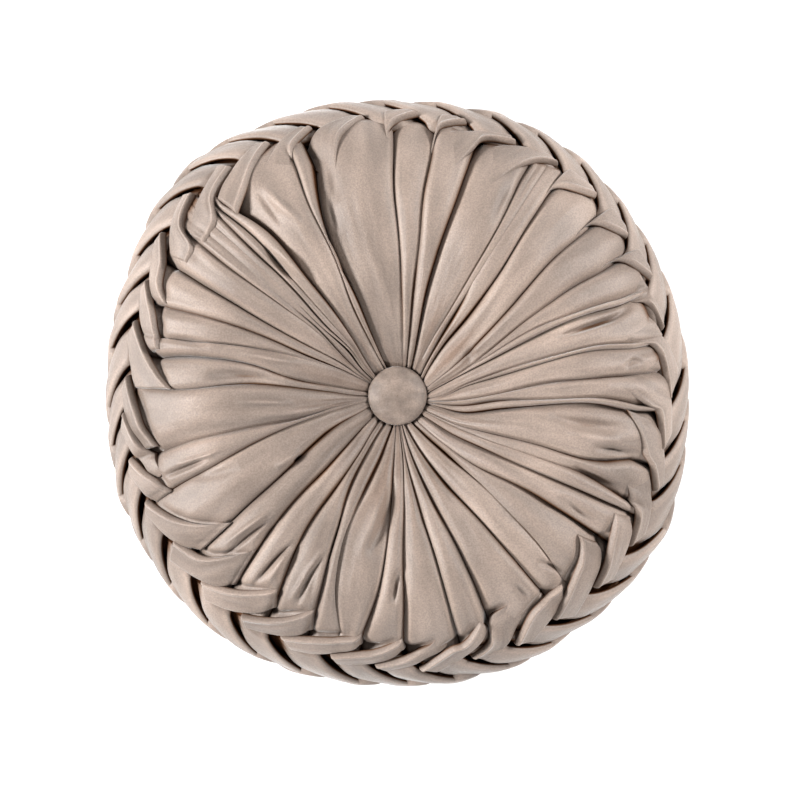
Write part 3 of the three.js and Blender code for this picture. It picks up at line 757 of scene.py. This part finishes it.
def strand(high, low, seed):
    """One full, folded strand between its high edge, which lies over the strand before it,
    and its low edge, which dips under the strand after it. Each edge is given by its start
    and its tip, as bearing and arc. The dip is deep at the start and closes to the tip."""
    along = eased(STRAND_STEPS, 0.14)[:, None]
    angle = np.linspace(0, 2 * np.pi, STRAND_AROUND, endpoint=False)[None, :]
    wide = np.sign(np.cos(angle)) * np.abs(np.cos(angle)) ** 0.8
    above = np.clip(np.sin(angle), 0, 1) ** 0.75
    below = np.clip(-np.sin(angle), 0, 1) ** 0.6

    high_start, high_tip = np.array(high, float)
    low_start, low_tip = np.array(low, float)
    run = math.radians(high_tip[0] - high_start[0]) * MEAN_REACH
    length = math.hypot(run, high_tip[1] - high_start[1])
    cap = rounding(np.minimum(along, 1 - along) * length, STRAND_ROUNDING)
    across = (wide * (0.8 + 0.2 * cap) + 1) / 2

    part = np.stack([along ** 1.3, along], axis=-1)
    high_edge = high_start + (high_tip - high_start) * part
    low_edge = low_start + (low_tip - low_start) * part
    spot = high_edge + (low_edge - high_edge) * across[..., None]
    turn, arc = spot[..., 0], spot[..., 1]
    dip_at = 0.46 + 0.34 * smooth(along, 0.15, 0.85)
    dip = 3.6 - 0.9 * math.cos(math.radians(high_start[0] - 20))
    level = STRAND_LEVEL - STRAND_SLOPE * across - dip * smooth(across, dip_at, dip_at + 0.3)
    level = level - 3.5 * (1 - smooth(along * length, 0, 9))
    uneven = 0.6 * noise(turn * 0.45, arc * 0.2, seed * 1.7, 21)
    drawn = 0.5 * noise(across * 9.0, along * 2.0, seed * 2.3, 22)
    rise = level - STRAND_CROWN + (STRAND_CROWN * cap + uneven + drawn) * above
    rise = rise - STRAND_BASE * below * cap
    # Painted highlight along the raised edge, painted shade where the strand lies deep and on its
    # underside
    painted_ridge_highlight = np.exp(-((across - 0.1) / 0.07) ** 2) * cap
    shade = np.where(above > 0.1, 0.95 * smooth(-rise, 2.8, 6.8) - 0.35 * painted_ridge_highlight, 0.8)
    lay = pleat_lay(across * STRAND_WIDTH, along * length, seed * 3.1)
    return crest_point(turn, arc, rise), shade, lay


def tip_bearing(index):
    """Bearing of the tip of a fold of the first ring, counting on past the last one."""
    turn, row = divmod(index, PLEATS)
    return FIRST_FOLDS[row][1][-1][0] + 360.0 * turn


FOLD_STEPS = 56
FOLD_COLUMNS = 26
FOLD_EDGE = 2.4
FOLD_THICKNESS = 4.5
FOLD_LIFT = 0.3
FOLD_UNDER = 0.8
FOLD_DRAWN_IN = 1.8

# How deep and how long the start of a fold without a lip is, the widths over which a fold with a
# lip loses its crisp start, and the bead at its inner edge: distance from it, width and height
FOLD_START = (3.0, 16.0)
CRISP_WIDTHS = (16, 28)
BEAD = (1.9, 1.3, 1.1)

# Rows of FIRST_FOLDS that start in a way of their own. All but the soft ones bridge what lies
# lower than BRIDGE under them
PROUD_FOLDS = (26, 31)
SOFT_FOLDS = (1, 2, 6, 7, 8, 10, 14, 16, 24, 32, 33)
FLAPS = (0, 3, 4, 5, 34)
BRIDGE = -2.4


def fold_path(points):
    """Bearing and arc of a fold's edge at eased steps from its start to its tip."""
    curve = spline([(turn, seen_arc(turn, reach)) for turn, reach in points], 16)
    passed = distances(curve, RIM_DEGREE)
    at = passed[-1] * eased(FOLD_STEPS, 0.1)
    return np.stack([np.interp(at, passed, column) for column in curve.T], axis=-1)


def first_fold(outer_points, inner_points, lift, tip, seed):
    """One fold of the first ring, which leaves its panel level and stands proud at its tip.

    SOFT_FOLDS rise out of the middle of a panel and FLAPS out of a crease. The others begin
    with a lip along a crease, and PROUD_FOLDS stand proud from there."""
    lipped = seed not in SOFT_FOLDS and seed not in FLAPS
    whole = 1.0 if seed in PROUD_FOLDS else 0.0
    outer = fold_path(outer_points)[:, None, :]
    inner = fold_path(inner_points)[:, None, :]
    middle = (outer + inner)[:, 0] / 2
    passed = distances(middle, RIM_DEGREE)[:, None]
    length = passed[-1, 0]
    along = passed / length

    angle = np.linspace(0, np.pi, FOLD_COLUMNS)
    above = (1 - np.cos(angle) * np.abs(np.cos(angle)) ** -0.25) / 2
    beneath = np.linspace(0.97, 0.03, FOLD_COLUMNS // 3)
    across = np.concatenate([above, beneath])[None, :]
    is_top = np.arange(across.size) < FOLD_COLUMNS

    span = np.hypot((outer - inner)[..., 0] * RIM_DEGREE, (outer - inner)[..., 1])
    from_inner = across * span
    crisp = 1 - smooth(span[0, 0], *CRISP_WIDTHS) if lipped else 0.0
    proud = np.maximum(smooth(along, 0.2, 0.65), max(whole, crisp))
    deep = FOLD_THICKNESS * (0.08 + 0.92 * proud)
    dropped = deep * (1 - rounding(from_inner, FOLD_EDGE * (1.8 - 0.8 * proud)))
    start_drop = FOLD_START[0] * (1 - np.clip(passed / FOLD_START[1], 0, 1)) ** 2
    if lipped:
        start_drop = FOLD_THICKNESS * (1 - rounding(passed, FOLD_EDGE))
    dropped = np.maximum(dropped, start_drop)
    for distance in ((1 - across) * span, length - passed):
        dropped = np.maximum(dropped, FOLD_THICKNESS * (1 - rounding(distance, FOLD_EDGE)))

    outer = outer - np.array([0.0, FOLD_DRAWN_IN]) * smooth(along, 0.15, 0.45)[..., None]
    spot = inner + (outer - inner) * across[..., None]
    turn, arc = spot[..., 0], spot[..., 1]
    panel = face_rise(turn, arc)
    if seed not in SOFT_FOLDS:
        panel = np.maximum(panel, BRIDGE)
    loose = smooth(along, 0.0, 0.45) if lipped else smooth(along, 0.15, 0.6)
    loose = np.maximum(loose, whole)
    level = panel * (1 - loose) + tip * loose
    level = level + lift * proud * (1 - across) ** 1.5 * 0.5
    level = level + (0.4 + 0.01 * span) * proud * (1 - (2 * across - 1) ** 2)
    bead = np.exp(-((from_inner - BEAD[0]) / BEAD[1]) ** 2) * proud
    level = level + BEAD[2] * bead
    level = level + 0.5 * noise(turn * 0.4, arc * 0.18, seed * 1.7, 21) * loose
    level = level + 0.45 * noise(across * 7.0, along * 1.6, seed * 2.3, 22) * loose + FOLD_LIFT
    rise = level - dropped
    rise = np.where(is_top, rise, np.minimum(level - FOLD_THICKNESS - FOLD_UNDER, rise))
    # Painted shade where the edges drop away and on the underside, painted highlight on the bead
    shade = np.where(is_top, np.clip(dropped - 2.6, 0, 3) * 0.25 - 0.3 * bead, 0.8)
    start_bearing = (middle[0, 0] + 0.3) % 360
    panel_index = np.searchsorted([row[6] for row in CREASES], start_bearing) - 1
    lay = pleat_lay(across * span, passed, panel_index % len(CREASES) * LAY_STEP)
    return crest_point(turn, arc, rise), shade, lay


def build_first_ring():
    """The folds that the panels end in, each over the start of the next."""
    return add_tubes(
        "rim_ring_1", [first_fold(*row, index) for index, row in enumerate(FIRST_FOLDS)])


def build_ring(name, begin, end, lean, lead):
    """A ring of strands that lie over each other like tiles."""
    strands = []
    for index in range(PLEATS):
        here, after = (tip_bearing(index + step) + lead * PITCH for step in (0, 1))
        high = here if lean < 0 else after
        low = after + RING_OVERLAP if lean < 0 else here - RING_OVERLAP
        high_edge, low_edge = (
            [(turn, RING_START + begin * RING_SPAN),
             (turn + lean * PITCH, RING_START + end * RING_SPAN)] for turn in (high, low))
        strands.append(strand(high_edge, low_edge, index + RING_SEEDS))
    return add_tubes(name, strands)


# The ground from the face side to the back side: its reaches, how high it lies at the face, how
# much it rises from there, and over which reaches
GROUND_REACHES = (174, 166)
GROUND_TOP = -14.5
GROUND_RISE = 8.0
GROUND_RISES_OVER = (178, 191)
GROUND_THICKNESS = 5.5
GROUND_COLUMNS = 28
GROUND_ROWS = 280


def build_ground():
    """The cloth behind the strands, painted in the darkest shade, so that it shows only as shadow
    between them.
    """
    face_reach, back_reach = GROUND_REACHES
    arcs = np.linspace(arc_at(face_reach), back_arc_at(back_reach), GROUND_COLUMNS)[:, None]
    top = GROUND_TOP + GROUND_RISE * smooth(arcs, *arc_at(GROUND_RISES_OVER))
    arcs = np.concatenate([arcs, arcs[::-1]])
    sunk = np.concatenate([top, top[::-1] - GROUND_THICKNESS])
    turns = np.linspace(0, 360, GROUND_ROWS, endpoint=False)[None, :]
    points = np.swapaxes(crest_point(turns, arcs, sunk), 0, 1).reshape(-1, 3)
    faces = closed_grid(GROUND_ROWS + 1, len(arcs)) % len(points)
    # The whole ground is painted in the darkest shade
    return add_mesh("rim_ground", points, faces.tolist(), np.ones(len(points)), 0 * points)


BACK_ROWS = 60
BACK_COLUMNS = 22
BACK_TURN = 12.0
BACK_LAY = 30.0
BACK_INSIDE = 10.0
BACK_MIDDLE = np.array([0.0, 0.0, 52.0])


def build_back():
    """The back: plain even pleats, level where the cushion lies."""
    curve = spline(BACK_SECTION, 20)
    steps = distances(curve)
    arc = np.linspace(0, steps[-1], BACK_ROWS)[:, None, None]
    reach, height = (np.interp(arc, steps, column) for column in curve.T)
    height = np.maximum(height, 0.0)
    number = np.arange(PLEATS + 1)[:, None]
    wave = noise(number % PLEATS * 2.3, arc * 0.05, 0.0, 31)
    crease = number * PITCH + BACK_TURN + 0.9 * wave * smooth(reach, 24, 90)
    crease = crease + 5.0 * smooth(reach, 24, 150)
    share = eased(BACK_COLUMNS + 1, 0.1)[:-1]
    turn = crease[:, :-1] + np.diff(crease, axis=1) * share
    off = np.maximum(0.0, np.abs(2 * share - 1) - 0.3) / 0.7
    drop = (2.4 + 6.6 * smooth(reach, 18, 120)) * off ** 2.4 + 0 * turn
    stretch = 1 + outline_stretch(turn) * smooth(reach, *UNEVEN)
    uneven = 0.5 * noise(turn * 0.3, reach * 0.05, 2.0, 41)
    rise = height + drop + uneven * smooth(height, 0.5, 6) + 4.0 * smooth(reach, 172, 182)
    # Painted shade in the creases of the back
    folds = 0.9 * smooth(drop, 2.5, 9.0)
    lay = pleat_lay(share * BACK_LAY + 0 * turn, arc, number[:-1] * LAY_STEP)
    parts = [part.reshape(BACK_ROWS, PLEATS * BACK_COLUMNS, -1)
             for part in (place(turn, reach * stretch, rise), folds, lay)]
    closed = [np.concatenate([part, part[:, :1]], axis=1) for part in parts]
    return add_sheet("cushion_back", *closed, BACK_INSIDE, BACK_MIDDLE)


BUTTON_OUTLINE = [
    (.3, 0), (.6, 0), (.9, .02), (.985, .16), (1.0, .32), (.985, .46), (.92, .60), (.8, .73),
    (.62, .86), (.4, .95), (.2, .99), (.02, 1),
]
BUTTON_RADIUS = 20.1
BUTTON_HEIGHT = 9.5
BUTTON_COLUMNS = 144
GATHERS = 24


def build_button(name, seat, upward):
    """A covered button: velvet drawn over a domed form and gathered underneath."""
    outline = spline(BUTTON_OUTLINE, 6)
    angle = np.linspace(0, 2 * np.pi, BUTTON_COLUMNS, endpoint=False)[None, :]
    reach = outline[:, :1] * BUTTON_RADIUS
    height = outline[:, 1:] * BUTTON_HEIGHT
    gathers = np.sin(angle * GATHERS + 1.3 * np.sin(angle * 3)) * smooth(height, 5.5, 1.5)
    reach = reach + 0.10 * gathers * smooth(reach, 10, 18)
    x = reach * np.sin(angle)
    y = reach * np.cos(angle)
    height = height + 0.18 * noise(x * 0.16, y * 0.16, 0.0, 71) * smooth(height, 2, 6)
    grid = np.stack([x + TUFT_X, y + TUFT_Y, height * (1 if upward else -1) + seat], axis=-1)
    return add_tubes(name, [(grid, np.zeros(grid.shape[:2]), pleat_lay(x * 0.5, y * 6.0, 3.0))])


# Materials

VELVET = {
    "Roughness": 0.44, "Specular IOR Level": 0.45, "Sheen Weight": 0.6, "Sheen Roughness": 0.3,
    "Sheen Tint": (0.97, 0.99, 1.0, 1.0),
}
FLOOR = {
    "Base Color": (0.92, 0.92, 0.92, 1.0), "Roughness": 0.9,
    "Emission Color": (1.0, 1.0, 1.0, 1.0), "Emission Strength": 0.2,
}

# Painted light and shade: colour from a painted highlight on the folded edges to painted shade at
# the bottom of the creases
PAINTED_SHADE_AND_HIGHLIGHT = [
    (0.28, (1.4, 1.4, 1.4)), (0.5, (1.0, 1.0, 1.0)), (0.65, (0.6, 0.44, 0.33)),
    (0.82, (0.2, 0.1, 0.05)), (1.0, (0.07, 0.03, 0.012)),
]


def new_material(name, values):
    """A material and its shader, with these values on the shader's sockets."""
    material = bpy.data.materials.new(name)
    material.use_nodes = True
    shader = material.node_tree.nodes["Principled BSDF"]
    for socket, value in values.items():
        shader.inputs[socket].default_value = value
    return material, shader


def velvet_material(name, tint, patches, dark, light):
    """Short-pile velvet: soft sheen, brushed patches between dark and light, streaks of painted
    sheen along the pleats, a fine nap, painted shade in the creases and a painted highlight on
    folded edges. One side is painted paler than the other, as painted light."""
    material, shader = new_material(name, VELVET)
    nodes = material.node_tree.nodes
    links = material.node_tree.links

    def add(kind, sources, values, **settings):
        """A node with its settings, and with values and sources for its sockets."""
        node = nodes.new("ShaderNode" + kind)
        for setting, choice in settings.items():
            setattr(node, setting, choice)
        for socket, value in values.items():
            node.inputs[socket].default_value = value
        for socket, source in sources.items():
            links.new(source, node.inputs[socket])
        return node

    def grain(source, scale, detail, rough):
        values = {"Scale": scale, "Detail": detail, "Roughness": rough}
        return add("TexNoise", {"Vector": source}, values).outputs["Fac"]

    def ramp(source, stops):
        node = add("ValToRGB", {"Fac": source}, {})
        elements = node.color_ramp.elements
        for element, (position, colour) in zip(elements, (stops[0], stops[-1])):
            element.position = position
            element.color = (*colour, 1.0)
        for position, colour in stops[1:-1]:
            elements.new(position).color = (*colour, 1.0)
        return node.outputs["Color"]

    def grey_ramp(source, low, dark, high, light):
        return ramp(source, [(low, (dark, dark, dark)), (high, (light, light, light))])

    def multiply(first, second):
        node = add("Mix", {"A": first, "B": second}, {"Factor": 1.0}, data_type="RGBA",
                   blend_type="MULTIPLY")
        return node.outputs["Result"]

    def from_zero(source):
        """A value between -1 and 1, brought to between 0 and 1."""
        return add("MapRange", {"Value": source}, {"From Min": -1.0, "From Max": 1.0}).outputs[0]

    here = add("TexCoord", {}, {}).outputs["Object"]
    lay = add("Attribute", {}, {}, attribute_name="lay").outputs["Vector"]
    stretched = add("VectorMath", {0: lay}, {1: (0.13, 0.028, 1.0)}, operation="MULTIPLY")
    # Streaks along the pleats: in the colour a painted sheen, in the relief real bumps
    streaks = grain(stretched.outputs["Vector"], 1.0, 1.0, 0.4)
    pleat = add("SeparateXYZ", {"Vector": lay}, {}).outputs["Z"]
    chance = add("TexNoise", {"W": pleat}, {"Scale": 0.37}, noise_dimensions="1D").outputs["Fac"]
    # Painted light: the colour is paler towards one side of the cushion and darker towards the
    # other
    turned = add("VectorMath", {0: here}, {}, operation="NORMALIZE").outputs["Vector"]
    lie = add("VectorMath", {0: turned}, {1: (0.9, 0.42, 0.0)}, operation="DOT_PRODUCT")
    colour = ramp(grain(here, patches, 3.0, 0.5), [
        (0.3, [value * dark for value in tint]), (0.7, [value * light for value in tint])])
    for source, low, darkest, high, lightest in (
            (grain(here, 900.0, 2.0, 0.6), 0.35, 0.84, 0.65, 1.12),
            (streaks, 0.3, 0.86, 0.7, 1.12), (chance, 0.3, 0.88, 0.7, 1.12),
            (from_zero(lie.outputs["Value"]), 0.0, 0.84, 1.0, 1.2)):
        colour = multiply(colour, grey_ramp(source, low, darkest, high, lightest))
    # The fold value carries the painted shade and painted highlight into the colour
    fold = from_zero(add("Attribute", {}, {}, attribute_name="fold").outputs["Fac"])
    links.new(multiply(colour, ramp(fold, PAINTED_SHADE_AND_HIGHLIGHT)), shader.inputs["Base Color"])

    # The depths of the folds have no sheen or gloss
    links.new(grey_ramp(fold, 0.5, 0.35, 0.75, 0.0), shader.inputs["Sheen Weight"])
    links.new(grey_ramp(fold, 0.5, 0.4, 0.75, 0.02), shader.inputs["Specular IOR Level"])

    # Relief of the pile, of crushed patches and of the streaks
    relief = grain(here, 1400.0, 2.0, 0.7)
    for source, factor in ((grain(here, 130.0, 3.0, 0.55), 0.6), (streaks, 4.0)):
        relief = add("Math", {0: source, 2: relief}, {1: factor}, operation="MULTIPLY_ADD")
        relief = relief.outputs[0]
    bump = add("Bump", {"Height": relief}, {"Strength": 0.45, "Distance": 0.0008})
    links.new(bump.outputs["Normal"], shader.inputs["Normal"])
    return material


# Stage, camera and light

FLOOR_REACH = 3.0

# Round lights: name, place, size and power, and the point that they shine at
LIGHT_AIM = (0, 0, 0.06)
LIGHTS = [
    ("left", (-1.55, 0.05, 0.95), 0.4, 70), ("right", (1.5, 0.6, 0.95), 0.5, 43),
    ("low", (0.3, -1.6, 0.95), 0.5, 18), ("top", (0.1, 1.6, 1.1), 0.5, 8),
]


def build_camera():
    data = bpy.data.cameras.new("camera")
    data.lens = LENS
    data.sensor_width = SENSOR
    camera = bpy.data.objects.new("camera", data)
    camera.location = (CAMERA_SHIFT[0], CAMERA_SHIFT[1], RIM_HEIGHT * MM + CAMERA_RISE)
    bpy.context.collection.objects.link(camera)
    bpy.context.scene.camera = camera


def build_floor():
    mesh = bpy.data.meshes.new("floor")
    corners = [(-1, -1), (1, -1), (1, 1), (-1, 1)]
    points = [(x * FLOOR_REACH, y * FLOOR_REACH, 0) for x, y in corners]
    mesh.from_pydata(points, [], [(0, 1, 2, 3)])
    floor = bpy.data.objects.new("floor", mesh)
    bpy.context.collection.objects.link(floor)
    mesh.materials.append(new_material("floor", FLOOR)[0])


def add_light(name, place_at, size, power):
    data = bpy.data.lights.new(name, "AREA")
    data.shape = "DISK"
    data.size = size
    data.energy = power
    light = bpy.data.objects.new(name, data)
    light.location = place_at
    direction = np.array(LIGHT_AIM) - np.array(place_at)
    direction = direction / np.linalg.norm(direction)
    pitch = math.acos(-direction[2])
    turn = math.atan2(direction[0], -direction[1])
    light.rotation_euler = (pitch, 0.0, turn + math.pi)
    bpy.context.collection.objects.link(light)


def build_lights():
    for light in LIGHTS:
        add_light(*light)
    world = bpy.data.worlds.new("studio")
    world.use_nodes = True
    world.node_tree.nodes["Background"].inputs["Color"].default_value = (1, 1, 1, 1)
    world.node_tree.nodes["Background"].inputs["Strength"].default_value = 0.2
    bpy.context.scene.world = world
    bpy.context.scene.view_settings.view_transform = "Standard"


build_camera()
build_floor()
build_lights()

velvet = velvet_material("velvet", (0.211, 0.162, 0.133), 16.0, 0.86, 1.13)
button_velvet = velvet_material("button_velvet", (0.19, 0.145, 0.118), 120.0, 0.7, 1.2)

rise_map = face_rise_map()
soft_pieces = [*build_face(), build_back(), build_ground(), build_first_ring()]
lead = RING_LEAD
for ring_name, ring_begin, ring_end, ring_lean in RINGS:
    soft_pieces.append(build_ring(ring_name, ring_begin, ring_end, ring_lean, lead))
    lead += ring_lean * RING_STEP

for piece in soft_pieces:
    piece.data.materials.append(velvet)
    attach(piece, "root")
    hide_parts("cushion")

buttons = [
    (build_button("face_button", THICKNESS - SEAT_DEPTH + SEAT_GAP, True), "front_button"),
    (build_button("rear_button", SEAT_DEPTH - SEAT_GAP, False), "back_button"),
]
for piece, node in buttons:
    piece.data.materials.append(button_velvet)
    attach(piece, "root")
    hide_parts(node)
